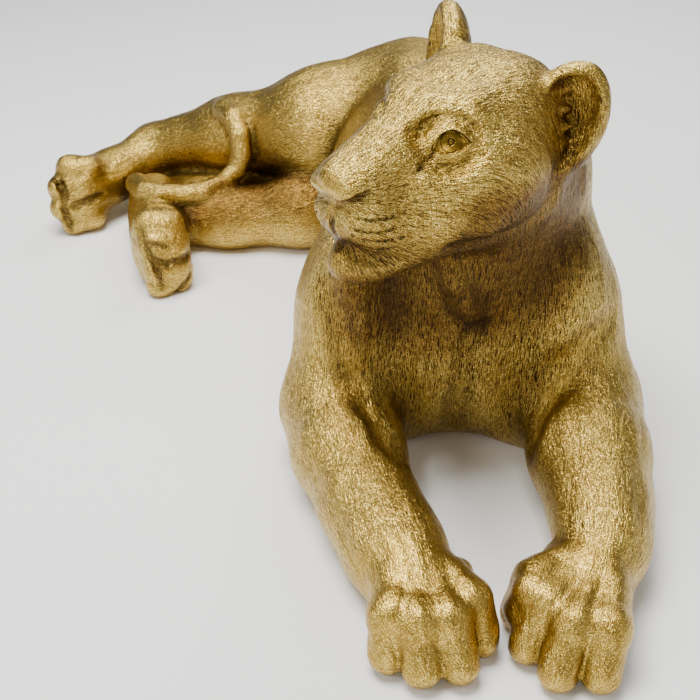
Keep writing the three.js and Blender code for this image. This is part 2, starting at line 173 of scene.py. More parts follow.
earShape = {
    "wall": 0.011, "depth": 0.020, "lift": 0.004, "deeper": 0.002, "rim": 0.005,
    "tufts": [
        # from and to in the cup's own frame, with both radii
        ([-0.030, -0.006, -0.040], [0.010, -0.004, -0.018], 0.0075, 0.0030),
        ([-0.034, -0.004, -0.020], [0.008, -0.001, 0.000], 0.0075, 0.0030),
        ([-0.035, -0.002, 0.000], [0.000, 0.003, 0.016], 0.0070, 0.0030),
        ([-0.033, 0.002, 0.020], [-0.008, 0.007, 0.034], 0.0055, 0.0025),
        ([-0.010, 0.006, -0.030], [0.030, 0.004, -0.004], 0.0060, 0.0040),
    ],
}


def cup(centre, radii, turned):
    # an egg hollowed from the front by a smaller one
    wall = earShape["wall"]
    shift = turned @ np.array([0, -earShape["depth"], earShape["lift"]], f32)
    inner = [radii[0] - wall, radii[1] + earShape["deeper"], radii[2] - wall]
    hollow = egg(np.array(centre, f32) + shift, inner, turned)
    return cut(egg(centre, radii, turned), hollow, earShape["rim"])


pawShape = {"root": 0.022, "knuckle": 0.0225, "tip": 0.0205, "spread": 0.019}


def paw(wrist, across, up, size, groove, *tips):
    # heel, pads and a row of toes; across runs over the toes from the first to the last
    w, a, u = (np.array(v, float) for v in (wrist, across, up))
    tips = np.array(tips, float)
    mid = tips.mean(0)
    heel = cone(w * 0.75 + mid * 0.25 - u * 0.004 * size, w * 0.30 + mid * 0.70 - u * 0.006 * size,
                0.040 * size, 0.035 * size)
    ball = mid * 0.66 + w * 0.34 - u * 0.010 * size
    pads = cone(ball - a * 0.028 * size, ball + a * 0.028 * size, 0.029 * size, 0.029 * size)
    toes = []
    for i, tip in enumerate(tips):
        root = w * 0.66 + mid * 0.34 + a * pawShape["spread"] * (i - 1.5) * size + u * 0.012 * size
        knuckle = root * 0.38 + tip * 0.62 + u * 0.010 * size
        end = tip - u * 0.015 * size
        toes.append(chain(0.010 * size, [*root, pawShape["root"] * size],
                          [*knuckle, pawShape["knuckle"] * size], [*end, pawShape["tip"] * size]))
    return blend(groove * size, blend(0.020 * size, heel, pads), *toes)


# body: chest, rib cage, belly and rump, with the neck rising out of the chest
trunk = blend(
    0.055,
    egg([0, 0.115, 0.130], [0.148, 0.160, 0.165]),
    egg([-0.012, 0.300, 0.140], [0.155, 0.230, 0.155]),
    egg([-0.022, 0.470, 0.138], [0.130, 0.200, 0.142]),
    egg([-0.025, 0.620, 0.145], [0.135, 0.125, 0.140], turn(0, -20, 0)),
    cone([0.010, 0.140, 0.230], [0.031, 0.055, 0.350], 0.128, 0.101),
    cone([0, 0.045, 0.190], [0.004, 0.015, 0.310], 0.090, 0.078),
    cone([0.066, 0.085, 0.210], [0.056, 0.080, 0.320], 0.090, 0.082),
    chain(0.050, [0.006, 0.190, 0.285, 0.034], [-0.010, 0.380, 0.252, 0.030],
          [-0.022, 0.560, 0.250, 0.032], [-0.010, 0.700, 0.190, 0.040]),
)
breast = blend(
    0.045,
    trunk,
    egg([-0.092, 0.130, 0.245], [0.045, 0.075, 0.062], turn(20, 0, 0)),
    egg([0.094, 0.130, 0.245], [0.045, 0.075, 0.062], turn(20, 0, 0)),
    cone([-0.070, 0.040, 0.110], [-0.088, 0.020, 0.040], 0.060, 0.050),
    cone([0.070, 0.040, 0.110], [0.092, 0.018, 0.040], 0.060, 0.050),
)

# forelegs: shoulder, upper arm, forearm, wrist, four toes and the dew claw
leftFore = around([0.02, -0.42, -0.03], [0.23, 0.14, 0.31], blend(
    0.014,
    blend(
        0.030,
        egg([0.120, 0.045, 0.190], [0.060, 0.090, 0.105], turn(10, 0, 0)),
        cone([0.131, 0.030, 0.180], [0.148, -0.010, 0.075], 0.060, 0.067),
        chain(0.030, [0.151, -0.020, 0.066, 0.070], [0.148, -0.100, 0.060, 0.064],
              [0.147, -0.180, 0.050, 0.051], [0.142, -0.230, 0.043, 0.043], [0.126, -0.270, 0.040, 0.040]),
    ),
    paw([0.132, -0.256, 0.044], [0.80, -0.60, 0], [0, 0, 1], 1, 0.0055,
        [0.047, -0.300, 0.034], [0.050, -0.343, 0.034], [0.074, -0.376, 0.034], [0.115, -0.378, 0.034]),
    egg([0.090, -0.250, 0.042], [0.014, 0.016, 0.014]),
))
# the inner toe stands fuller than its neighbours
innerToe = chain(0.006, [0.0690, -0.2900, 0.0600, 0.0160], [0.0560, -0.3090, 0.0550, 0.0200],
                 [0.0480, -0.3140, 0.0320, 0.0190])
leftFore = blend(0.008, leftFore, innerToe)
rightFore = around([-0.21, -0.41, -0.03], [0.03, 0.14, 0.31], blend(
    0.014,
    blend(
        0.030,
        egg([-0.118, 0.045, 0.190], [0.060, 0.090, 0.105], turn(10, 0, 0)),
        cone([-0.126, 0.030, 0.180], [-0.138, -0.010, 0.075], 0.060, 0.064),
        chain(0.030, [-0.139, -0.020, 0.064, 0.066], [-0.127, -0.090, 0.057, 0.060],
              [-0.103, -0.175, 0.048, 0.050], [-0.080, -0.232, 0.043, 0.049],
              [-0.063, -0.275, 0.040, 0.047]),
    ),
    paw([-0.060, -0.262, 0.044], [0.97, 0.22, 0], [0, 0, 1], 1, 0.0055,
        [-0.088, -0.354, 0.034], [-0.056, -0.372, 0.034], [-0.020, -0.368, 0.034], [0.003, -0.334, 0.034]),
    egg([-0.011, -0.270, 0.041], [0.013, 0.019, 0.012]),
))

# hind legs: both lie out to the right, the far one on top
farHind = around([-0.64, 0.49, -0.03], [0.10, 0.76, 0.30], blend(
    0.014,
    blend(
        0.022,
        blend(
            0.032,
            cone([-0.020, 0.630, 0.185], [-0.165, 0.600, 0.172], 0.108, 0.090),
            chain(0.030, [-0.165, 0.600, 0.168, 0.086], [-0.320, 0.660, 0.128, 0.060],
                  [-0.462, 0.705, 0.086, 0.041]),
        ),
        chain(0.020, [-0.465, 0.700, 0.080, 0.041], [-0.530, 0.640, 0.062, 0.042],
              [-0.562, 0.600, 0.058, 0.046]),
    ),
    paw([-0.556, 0.640, 0.062], [0, 0, -1], [0.90, -0.35, 0], 0.95, 0.0125,
        [-0.572, 0.574, 0.106], [-0.586, 0.554, 0.078], [-0.584, 0.544, 0.046], [-0.570, 0.546, 0.018]),
))
nearHind = around([-0.50, 0.31, -0.03], [0.08, 0.70, 0.19], blend(
    0.014,
    blend(
        0.022,
        blend(
            0.030,
            cone([-0.030, 0.600, 0.090], [-0.205, 0.524, 0.056], 0.095, 0.056),
            chain(0.030, [-0.205, 0.524, 0.052, 0.054], [-0.320, 0.520, 0.044, 0.045],
                  [-0.430, 0.520, 0.042, 0.042]),
        ),
        chain(0.020, [-0.448, 0.570, 0.056, 0.040], [-0.428, 0.470, 0.050, 0.046]),
    ),
    paw([-0.425, 0.455, 0.052], [0, 0, -1], [0.95, -0.25, 0], 1.05, 0.0125,
        [-0.412, 0.386, 0.100], [-0.402, 0.362, 0.074], [-0.397, 0.350, 0.044], [-0.397, 0.352, 0.016]),
))
# the web of casting between the two hind legs
web = egg([-0.310, 0.605, 0.020], [0.180, 0.105, 0.062])

# tail: round the rump, over the far hind leg and along the near one, ending at its hock
tailLine = [
    [0, 0.730, 0.110, 0.034], [-0.090, 0.716, 0.076, 0.030], [-0.190, 0.690, 0.085, 0.027],
    [-0.270, 0.722, 0.100, 0.024], [-0.325, 0.712, 0.140, 0.021], [-0.340, 0.668, 0.168, 0.020],
    [-0.330, 0.630, 0.182, 0.019], [-0.312, 0.596, 0.183, 0.018], [-0.301, 0.572, 0.165, 0.0175],
    [-0.299, 0.560, 0.137, 0.0170], [-0.308, 0.552, 0.112, 0.0165], [-0.328, 0.533, 0.100, 0.0160],
    [-0.355, 0.512, 0.096, 0.0160], [-0.389, 0.503, 0.093, 0.0165], [-0.421, 0.495, 0.096, 0.0175],
    [-0.450, 0.510, 0.095, 0.0185], [-0.468, 0.545, 0.092, 0.0190],
]
tail = around([-0.49, 0.48, 0.03], [0.05, 0.78, 0.21], chain(0.001, *tailLine))

# head, in its own frame: x to the lioness's left, y to the back, z up
headAt, headTurned = [0, 0, 0.393], headTurn(-11, -3, -49)
skull = blend(
    0.026,
    egg([0, 0.010, 0.012], [0.084, 0.094, 0.088]),
    egg([0.030, 0.020, 0.046], [0.045, 0.060, 0.050]),
    egg([0, -0.036, 0.044], [0.046, 0.052, 0.042]),
    cone([0, -0.085, 0.029], [0, -0.166, -0.016], 0.026, 0.0215),
    cone([0.014, -0.085, 0.026], [0.015, -0.160, -0.017], 0.024, 0.0190),
    egg([0.044, -0.030, 0.010], [0.032, 0.056, 0.054]),
    cone([0.018, -0.084, 0.046], [0.044, -0.062, 0.052], 0.012, 0.014),
)
muzzle = blend(
    0.016,
    skull,
    egg([0.021, -0.140, -0.050], [0.025, 0.044, 0.031]),
    cone([0.020, -0.140, -0.066], [0.040, -0.085, -0.056], 0.020, 0.032),
    egg([0, -0.160, -0.052], [0.016, 0.026, 0.028]),
)
jaw = blend(
    0.018,
    egg([0, -0.142, -0.102], [0.025, 0.036, 0.025]),
    cone([0.012, -0.128, -0.094], [0.046, -0.040, -0.052], 0.026, 0.036),
)
cheeks = blend(
    0.030,
    blend(0.012, muzzle, jaw),
    egg([0.054, -0.002, -0.022], [0.042, 0.086, 0.058]),
    cone([0.040, -0.104, -0.014], [0.068, -0.020, -0.004], 0.018, 0.032),
)
# the eye: gaze holds its own directions, along the slit, out and up
eyeAt, eyeRadii, lidWall = [0.0413, -0.0792, 0.0206], [0.0270, 0.0192, 0.0220], 0.0042
gaze = np.array([[0.582, 0.784, -0.231], [0.773, -0.613, -0.139], [0.251, 0.1005, 0.963]], f32)
eyeSlit = {"long": 0.0205, "over": 0.0158, "under": 0.0070}


def almond(p):
    # the opening between the lids: two bows that meet at the eye's corners
    q = (p - np.array(eyeAt, f32)) @ gaze
    bow = 1 - (q[:, 0] / eyeSlit["long"]) ** 2
    d = np.maximum(q[:, 2] - eyeSlit["over"] * bow, -q[:, 2] - eyeSlit["under"] * bow) * 0.7
    return np.where(q[:, 1] > 0, d, 0.02)


eyeball = egg(eyeAt, eyeRadii, gaze)
lidBall = egg(eyeAt, [v + lidWall for v in eyeRadii], gaze)
lids = cut(lidBall, almond, 0.0015)
orbit = egg(np.array(eyeAt) + 0.033 * gaze[:, 1] + 0.004 * gaze[:, 2], [0.033, 0.0185, 0.028], gaze)
innerHollow = egg([0.040, -0.113, 0.035], [0.016, 0.016, 0.012], turn(0, 0, 40))
socket = cut(cut(cheeks, orbit, 0.014), innerHollow, 0.012)
face = blend(
    0.008,
    blend(0.0012, blend(0.007, socket, lids), eyeball),
    egg([0, -0.178, -0.016], [0.028, 0.022, 0.0175]),
    egg([0.019, -0.180, -0.023], [0.012, 0.014, 0.011]),
)

# lines cut into the face, as stations of x, y, z and half width
mouthLine = chain(0.006, [0, -0.186, -0.082, 0.0045], [0.014, -0.180, -0.088, 0.0050],
                  [0.030, -0.160, -0.091, 0.0055], [0.050, -0.122, -0.094, 0.0045])
nostril = chain(0.004, [0.009, -0.189, -0.0385, 0.0024], [0.022, -0.190, -0.0335, 0.0027],
                [0.031, -0.183, -0.026, 0.0024], [0.035, -0.170, -0.019, 0.0018])
philtrum = chain(0.003, [0, -0.197, -0.036, 0.0028], [0, -0.187, -0.055, 0.0028],
                 [0, -0.181, -0.070, 0.0028], [0, -0.172, -0.084, 0.0028])
tearLine = chain(0.003, [0.0475, -0.1045, 0.0160, 0.0022], [0.0455, -0.1085, 0.0095, 0.0023],
                 [0.0466, -0.1160, 0.0040, 0.0022], [0.0464, -0.1240, -0.0020, 0.0015])
bagLine = chain(0.003, [0.0552, -0.1026, 0.0019, 0.0006], [0.0628, -0.0936, 0.0018, 0.0010],
                [0.0687, -0.0839, 0.0065, 0.0010], [0.0767, -0.0710, 0.0196, 0.0004])
lidFold = chain(0.006, [0.0295, -0.1075, 0.0290, 0.0006], [0.0300, -0.1030, 0.0390, 0.0010],
                [0.0372, -0.0980, 0.0475, 0.0012], [0.0460, -0.0908, 0.0505, 0.0010],
                [0.0552, -0.0834, 0.0486, 0.0008], [0.0645, -0.0745, 0.0405, 0.0006],
                [0.0702, -0.0694, 0.0323, 0.0004])
ruffEdge = chain(0.010, [0.066, -0.080, -0.080, 0.002], [0.086, -0.028, -0.072, 0.005],
                 [0.094, 0.012, -0.062, 0.007], [0.100, 0.032, -0.036, 0.007], [0.100, 0.030, -0.004, 0.004])
whiskerWidth = 0.0012
whiskerRows = [
    [[0.0314, -0.1794, -0.0448], [0.0392, -0.1696, -0.0460], [0.0440, -0.1558, -0.0451],
     [0.0474, -0.1302, -0.0386]],
    [[0.0251, -0.1827, -0.0557], [0.0357, -0.1736, -0.0583], [0.0422, -0.1612, -0.0584],
     [0.0501, -0.1334, -0.0529]],
    [[0.0236, -0.1785, -0.0651], [0.0326, -0.1691, -0.0688], [0.0402, -0.1575, -0.0694],
     [0.0505, -0.1318, -0.0642]],
    [[0.0235, -0.1641, -0.0780], [0.0310, -0.1566, -0.0798], [0.0380, -0.1474, -0.0794],
     [0.0436, -0.1373, -0.0766]],
]
whiskerLines = [chain(0.001, *[[*spot, whiskerWidth] for spot in row]) for row in whiskerRows]
whiskers = around([0.020, -0.190, -0.083], [0.055, -0.125, -0.036], blend(0.001, *whiskerLines), 0.02)
faceCuts = [
    # a line and how softly it is cut
    (mouthLine, 0.008), (nostril, 0.004), (philtrum, 0.005), (tearLine, 0.003), (bagLine, 0.008),
    (lidFold, 0.008), (whiskers, 0.0015), (ruffEdge, 0.016),
]
carved = face
for line, edge in faceCuts:
    carved = cut(carved, line, edge)


def ear(centre, radii, turned, side):
    # a cup with tufts that grow into it from its front edge; side is 1 on the left and -1 on the right
    mirror = np.array([side, 1, 1])
    tufts = [cone(turned @ (mirror * a) + centre, turned @ (mirror * b) + centre, ra, rb)
             for a, b, ra, rb in earShape["tufts"]]
    return blend(0.005, cup(centre, radii, turned), *tufts)


nearEar = ear([0.079, 0.044, 0.041], [0.043, 0.026, 0.067], turn(4, 16, 34), 1)
farEar = blend(
    0.010,
    ear([-0.085, 0.041, 0.063], [0.049, 0.027, 0.073], turn(4, -12, -34), -1),
    cone([-0.062, 0.020, 0.086], [-0.044, 0.012, 0.058], 0.010, 0.020),
)
wholeHead = blend(0.010, mirrored(carved), nearEar, farEar)
head = placed(around([-0.14, -0.22, -0.15], [0.14, 0.12, 0.14], wholeHead), headAt, headTurned)

# the two sides are joined to the body one by one, so that the paws stay apart
front = join(blend(0.030, breast, leftFore), blend(0.030, breast, rightFore), 0.002)

# creases, as stations of x, y, z and half width, each with the edge over which it is cut
bodyCreases = [
    # down the middle of the chest
    (0.022, chain(0.006, [0.016, -0.060, 0.206, 0.001], [0.006, -0.060, 0.167, 0.002],
                  [0.003, -0.054, 0.121, 0.003], [0, -0.040, 0.075, 0.004], [0, -0.024, 0.042, 0.004])),
    # between chest and right foreleg
    (0.030, chain(0.010, [-0.158, -0.021, 0.238, 0.001], [-0.145, -0.045, 0.209, 0.003],
                  [-0.134, -0.055, 0.175, 0.004], [-0.117, -0.062, 0.142, 0.006],
                  [-0.102, -0.087, 0.122, 0.006], [-0.084, -0.121, 0.107, 0.004],
                  [-0.068, -0.144, 0.091, 0.002])),
    # between chest and left foreleg
    (0.030, chain(0.010, [0.172, -0.030, 0.194, 0.001], [0.147, -0.052, 0.176, 0.004],
                  [0.115, -0.057, 0.148, 0.006], [0.095, -0.070, 0.111, 0.006],
                  [0.081, -0.088, 0.087, 0.005], [0.076, -0.100, 0.071, 0.003])),
]
soleCreases = [
    # the near hind paw: round its toes, under them, above them and below
    (0.007, chain(0.003, [-0.4375, 0.3690, 0.104, 0.002], [-0.4280, 0.3505, 0.086, 0.0035],
                  [-0.4130, 0.3390, 0.061, 0.0045], [-0.4060, 0.3325, 0.042, 0.0045],
                  [-0.4040, 0.3350, 0.018, 0.0035])),
    (0.008, chain(0.003, [-0.4130, 0.3390, 0.061, 0.004], [-0.3918, 0.3445, 0.0556, 0.0050],
                  [-0.3750, 0.3545, 0.0566, 0.0045], [-0.3650, 0.3745, 0.0584, 0.003])),
    (0.005, chain(0.003, [-0.4285, 0.3520, 0.0875, 0.003], [-0.4092, 0.3495, 0.0862, 0.0035],
                  [-0.3950, 0.3535, 0.0812, 0.002])),
    (0.006, chain(0.003, [-0.3650, 0.3645, 0.0296, 0.003], [-0.3740, 0.3545, 0.0150, 0.004],
                  [-0.3874, 0.3515, 0.0036, 0.003])),
    # the far hind paw: round its toes, under them and above them
    (0.007, chain(0.003, [-0.5945, 0.5530, 0.0976, 0.002], [-0.5870, 0.5410, 0.0765, 0.0035],
                  [-0.5893, 0.5320, 0.0542, 0.0045], [-0.5851, 0.5325, 0.0267, 0.0045],
                  [-0.5844, 0.5320, 0.0117, 0.003])),
    (0.008, chain(0.003, [-0.5740, 0.5380, 0.0558, 0.004], [-0.5490, 0.5468, 0.0619, 0.005],
                  [-0.5300, 0.5655, 0.0648, 0.003])),
    (0.006, chain(0.003, [-0.6097, 0.5600, 0.0943, 0.002], [-0.5909, 0.5420, 0.0852, 0.004],
                  [-0.5874, 0.5412, 0.0707, 0.003])),
]
throatTuft = chain(0.004, [-0.022, -0.056, 0.292, 0.010], [-0.010, -0.060, 0.264, 0.013],
                   [0.002, -0.059, 0.236, 0.012], [0.015, -0.055, 0.210, 0.006])
figure = blend(
    0.006,
    blend(
        0.020,
        join(blend(0.034, blend(0.016, front, throatTuft), farHind), head, 0.020),
        web,
        nearHind,
    ),
    tail,
)
for edge, line in bodyCreases + soleCreases:
    figure = cut(figure, line, edge)


def lioness(p):
    # the figure, cut off flat at the floor
    p = inModel(p)
    return -softMin(-figure(p), p[:, 2], 0.003)


# how finely the skin is worked out, in metres; a fine place has its edge length, how far that holds
# and how fast edges grow beyond
skinShape = {
    "body": 0.0068, "floor": 0.022, "floorZone": 0.0008,
    "paw": (0.0038, 0.100, 0.10), "head": (0.0031, 0.145, 0.08),
    "muzzle": (0.0019, 0.048, 0.06), "eye": (0.0013, 0.030, 0.09),
    "rounds": 9, "tooLong": 1.38, "longestMove": 0.006, "quick": 1.7,
}
headMiddle = (np.array(headAt) - pivotAhead).astype(f32)
skullMiddle, muzzleMiddle, noseTip = [0, -0.03, -0.01], [0.012, -0.170, -0.055], [0, -0.200, -0.030]
pawPlaces = np.array([
    [0.085, -0.460, 0.03], [-0.045, -0.460, 0.03], [-0.575, 0.440, 0.06], [-0.405, 0.255, 0.06],
], f32)


def distance(p, middle):
    return np.sqrt(((p - np.array(middle, f32)) ** 2).sum(1))


def unit(v):
    # each row at length one
    return v / np.maximum(np.sqrt((v * v).sum(1)), 1e-9)[:, None]


def inModel(p):
    # a point in the frame in which the forms are written
    return (p + pivotAhead).astype(f32)


def toHead(p):
    # a point in the head's own frame
    return (p - headMiddle) @ headTurned


def edgeAim(p):
    # how long an edge may be there: the least that the body or any fine place asks for
    s = skinShape
    q = toHead(p)
    r = oneSide(q)
    asked = [(s["paw"], distance(p, place)) for place in pawPlaces]
    asked += [(s["head"], distance(q, skullMiddle)), (s["muzzle"], distance(r, muzzleMiddle)),
              (s["eye"], distance(r, eyeAt))]
    aim = np.full(len(p), s["body"], f32)
    for (edge, holds, growth), away in asked:
        aim = np.minimum(aim, edge + np.maximum(away - holds, 0) * growth)
    aim = np.where(p[:, 2] < s["floorZone"], s["floor"], aim)
    return aim * 1


def slopes(field, p):
    # the field's value and slope, from steps along each axis
    step = 0.0004
    d = field(p)
    g = np.stack([field(p + f32(step) * np.eye(3, dtype=f32)[i]) - d for i in range(3)], 1) / step
    return d, g


def ontoSkin(p, times=2):
    # each point is moved along the slope until the field is nought there
    for _ in range(times):
        d, g = slopes(lioness, p)
        move = -g * (d / np.maximum((g * g).sum(1), 0.05))[:, None]
        length = np.sqrt((move * move).sum(1))
        shorter = np.minimum(length, skinShape["longestMove"]) / np.maximum(length, 1e-9)
        p = (p + move * shorter[:, None]).astype(f32)
    return p


def edgesOf(tris, count):
    # each edge once, and the three edges of each triangle
    ends = np.sort(np.concatenate([tris[:, [0, 1]], tris[:, [1, 2]], tris[:, [2, 0]]]), 1)
    keys, back = np.unique(ends[:, 0] * count + ends[:, 1], return_inverse=True)
    return np.stack([keys // count, keys % count], 1), back.reshape(3, -1).T


def split(points, tris):
    # edges that are too long are halved; a triangle's longest is halved before its others
    edges, sides = edgesOf(tris, len(points))
    a, b = points[edges[:, 0]], points[edges[:, 1]]
    length = np.sqrt(((a - b) ** 2).sum(1))
    marked = length > skinShape["tooLong"] * edgeAim((a + b) / 2)
    if not marked.any():
        return points, tris, 0
    longest = sides[np.arange(len(tris)), length[sides].argmax(1)]
    while True:
        more = marked.copy()
        more[longest[marked[sides].any(1)]] = True
        if (more == marked).all():
            break
        marked = more
    middle = np.full(len(edges), -1)
    middle[marked] = len(points) + np.arange(marked.sum())
    points = np.concatenate([points, (a[marked] + b[marked]) / 2])
    first = length[sides].argmax(1)
    turned = (first[:, None] + np.arange(3)) % 3
    rows = np.arange(len(tris))[:, None]
    a, b, c = tris[rows, turned].T
    m0, m1, m2 = middle[sides[rows, turned]].T
    whole = m0 < 0
    one = (m0 >= 0) & (m1 < 0) & (m2 < 0)
    near = (m0 >= 0) & (m1 >= 0) & (m2 < 0)
    far = (m0 >= 0) & (m1 < 0) & (m2 >= 0)
    three = (m0 >= 0) & (m1 >= 0) & (m2 >= 0)

    def pick(which, *corners):
        return np.stack([corner[which] for corner in corners], 1)
    tris = np.concatenate([
        tris[whole], pick(one, a, m0, c), pick(one, m0, b, c),
        pick(near, a, m0, c), pick(near, m0, b, m1), pick(near, m0, m1, c),
        pick(far, m0, b, c), pick(far, a, m0, m2), pick(far, m0, c, m2),
        pick(three, a, m0, m2), pick(three, m0, b, m1), pick(three, m0, m1, c), pick(three, m0, c, m2),
    ])
    return points, tris, int(marked.sum())


def swap(points, tris, passes=3):
    # an edge is swapped for the other one across its two triangles, where the corners that face it
    # add up to more than half a turn and the skin stays flat
    leastGain, flat, kept = 0.03, 0.85, 0.7
    for _ in range(passes):
        edges, sides = edgesOf(tris, len(points))
        order = np.argsort(sides.ravel(), kind="stable")
        owner, place = order // 3, order % 3
        one, two = owner[0::2], owner[1::2]
        i, j = place[0::2], place[1::2]
        a, b = tris[one, i], tris[one, (i + 1) % 3]
        c, d = tris[one, (i + 2) % 3], tris[two, (j + 2) % 3]
        pa, pb, pc, pd = points[a], points[b], points[c], points[d]

        def corner(at, u, v):
            e, f = u - at, v - at
            return np.arctan2(np.sqrt((np.cross(e, f) ** 2).sum(1)), (e * f).sum(1))
        gain = corner(pc, pa, pb) + corner(pd, pa, pb) - np.pi
        n1, n2 = np.cross(pb - pa, pc - pa), np.cross(pd - pa, pb - pa)
        m1, m2 = np.cross(pd - pc, pb - pc), np.cross(pa - pc, pd - pc)

        def aligned(u, v):
            return (u * v).sum(1) / np.maximum(np.sqrt((u * u).sum(1) * (v * v).sum(1)), 1e-20)
        fair = (gain > leastGain) & (aligned(n1, n2) > flat)
        fair &= (aligned(m1, m2) > flat) & (aligned(m1, n1) > kept)
        count = len(points)
        crossing = np.minimum(c, d) * count + np.maximum(c, d)
        fair &= ~np.isin(crossing, edges[:, 0] * count + edges[:, 1])
        gain = np.where(fair, gain, -1)
        best = np.full(len(tris), -1.0)
        np.maximum.at(best, one, gain)
        np.maximum.at(best, two, gain)
        chosen = np.flatnonzero(fair & (gain >= best[one]) & (gain >= best[two]))
        _, single = np.unique(crossing[chosen], return_index=True)
        chosen = chosen[single]
        if not len(chosen):
            break
        a, b, c, d, one, two = (v[chosen] for v in (a, b, c, d, one, two))
        tris = tris.copy()
        tris[one] = np.stack([c, a, d], 1)
        tris[two] = np.stack([d, b, c], 1)
    return tris


def averaged(values, edges, count):
    # each point's mean of its neighbours
    i = np.concatenate([edges[:, 0], edges[:, 1]])
    j = np.concatenate([edges[:, 1], edges[:, 0]])
    total = np.stack([np.bincount(i, values[j, k], count) for k in range(values.shape[1])], 1)
    return total / np.maximum(np.bincount(i, minlength=count), 1)[:, None]


def pointNormals(points, tris):
    # the sum of the triangles' normals round each point, larger triangles weighing more
    a, b, c = (points[tris[:, k]] for k in range(3))
    flat = np.cross(b - a, c - a)
    corners = tris.ravel()
    total = np.stack([np.bincount(corners, np.repeat(flat[:, k], 3), len(points)) for k in range(3)], 1)
    return total / np.maximum(np.sqrt((total * total).sum(1)), 1e-20)[:, None]


def evened(points, tris, times=2, share=0.5):
    # points slide along the skin towards the middle of their neighbours
    edges, _ = edgesOf(tris, len(points))
    for _ in range(times):
        n = pointNormals(points, tris)
        move = averaged(points, edges, len(points)) - points
        move -= n * (move * n).sum(1)[:, None]
        points = (points + share * move).astype(f32)
    return points


def copyOf(node):
    # the node's points and triangles, its doubles merged
    mesh = node.data
    co = np.empty(len(mesh.vertices) * 3, f32)
    mesh.vertices.foreach_get("co", co)
    mesh.calc_loop_triangles()
    corners = np.empty(len(mesh.loop_triangles) * 3, np.int32)
    mesh.loop_triangles.foreach_get("vertices", corners)
    co = co.reshape(-1, 3)
    _, first, back = np.unique(np.round(co, 6), axis=0, return_index=True, return_inverse=True)
    a, b, c = back.reshape(-1)[corners].reshape(-1, 3).T
    whole = (a != b) & (b != c) & (c != a)
    return co[first], np.stack([a, b, c], 1)[whole].astype(np.int64)


points, tris = copyOf(lionNode)
tris = swap(points, tris)
points = ontoSkin(evened(points, tris))
for step in range(skinShape["rounds"]):
    points, tris, more = split(points, tris)
    tris = swap(points, tris)
    points = ontoSkin(evened(points, tris), 1)
    print("skin round", step, "has", len(tris), "triangles")
    if more == 0:
        break
points = ontoSkin(evened(points, tris, 3), 3)
edges, _ = edgesOf(tris, len(points))
print("skin fitted")

# the way the fur lies: each stretch of the body has the direction in which its fur runs
furShape = {
    "reach": 0.014, "smooth": 8,
    "relief": 0.0010, "tuft": (0.011, 0.040, 3),  # height; size, length and seed of the body's tufts
    "headRelief": 0.0004, "headTuft": (0.0050, 0.016, 5),
    "floorFade": 0.012,  # none at the floor, full from here
    "source": [0, -0.205, -0.030],  # the head's fur runs back from here
    "droop": 0.9,  # and turns down behind the cheeks
    "ears": ([0.084, 0.040, 0.060], [-0.092, 0.036, 0.080]), "earReach": 0.030, "earWay": [0, 0.1, 1.0],
    "headEgg": ([0, -0.030, -0.010], [0.098, 0.170, 0.115]),
    "stretches": [
        # from, to, radius, direction
        ([0.02, 0.03, 0.36], [0.02, 0.01, 0.05], 0.125, [0, -0.15, -1]),
        ([0.06, 0.08, 0.33], [0.06, 0.06, 0.20], 0.100, [0.05, -0.10, -1]),
        ([0.01, 0.16, 0.24], [-0.02, 0.62, 0.17], 0.120, [-0.05, 1, -0.25]),
        ([0.125, 0.06, 0.25], [0.140, -0.01, 0.10], 0.070, [0.05, -0.35, -1]),
        ([0.150, -0.02, 0.07], [0.146, -0.20, 0.05], 0.058, [0, -1, -0.10]),
        ([0.140, -0.22, 0.05], [0.075, -0.37, 0.03], 0.042, [-0.40, -1, -0.15]),
        ([-0.120, 0.06, 0.25], [-0.135, -0.01, 0.10], 0.070, [-0.05, -0.35, -1]),
        ([-0.139, -0.02, 0.07], [-0.105, -0.18, 0.05], 0.056, [0.20, -1, -0.10]),
        ([-0.095, -0.20, 0.05], [-0.040, -0.37, 0.03], 0.042, [0.30, -1, -0.15]),
        ([-0.020, 0.63, 0.185], [-0.165, 0.60, 0.172], 0.100, [-1, 0, -0.10]),
        ([-0.165, 0.60, 0.168], [-0.320, 0.66, 0.128], 0.072, [-1, 0.35, -0.25]),
        ([-0.320, 0.66, 0.128], [-0.462, 0.705, 0.086], 0.050, [-1, 0.3, -0.3]),
        ([-0.480, 0.695, 0.075], [-0.580, 0.56, 0.06], 0.042, [-0.5, -1, -0.1]),
        ([-0.030, 0.60, 0.09], [-0.205, 0.524, 0.056], 0.075, [-1, -0.4, -0.15]),
        ([-0.205, 0.524, 0.052], [-0.430, 0.52, 0.042], 0.048, [-1, 0, -0.05]),
        ([-0.440, 0.52, 0.052], [-0.405, 0.36, 0.055], 0.044, [0.2, -1, 0]),
    ],
}


def headRun(q):
    # on the head the fur runs away from the nose, down behind the cheeks and up on the ears
    s = furShape
    back = unit(q - np.array(s["source"]))
    behind, low = np.clip((q[:, 1] + 0.090) / 0.10, 0, 1), np.clip((0.030 - q[:, 2]) / 0.05, 0, 1)
    back[:, 2] -= s["droop"] * behind * low
    nearest = np.minimum(distance(q, s["ears"][0]), distance(q, s["ears"][1]))
    share = np.exp(-np.clip(nearest / s["earReach"], 0, 9) ** 2)[:, None]
    return back * (1 - share) + share * np.array(s["earWay"])


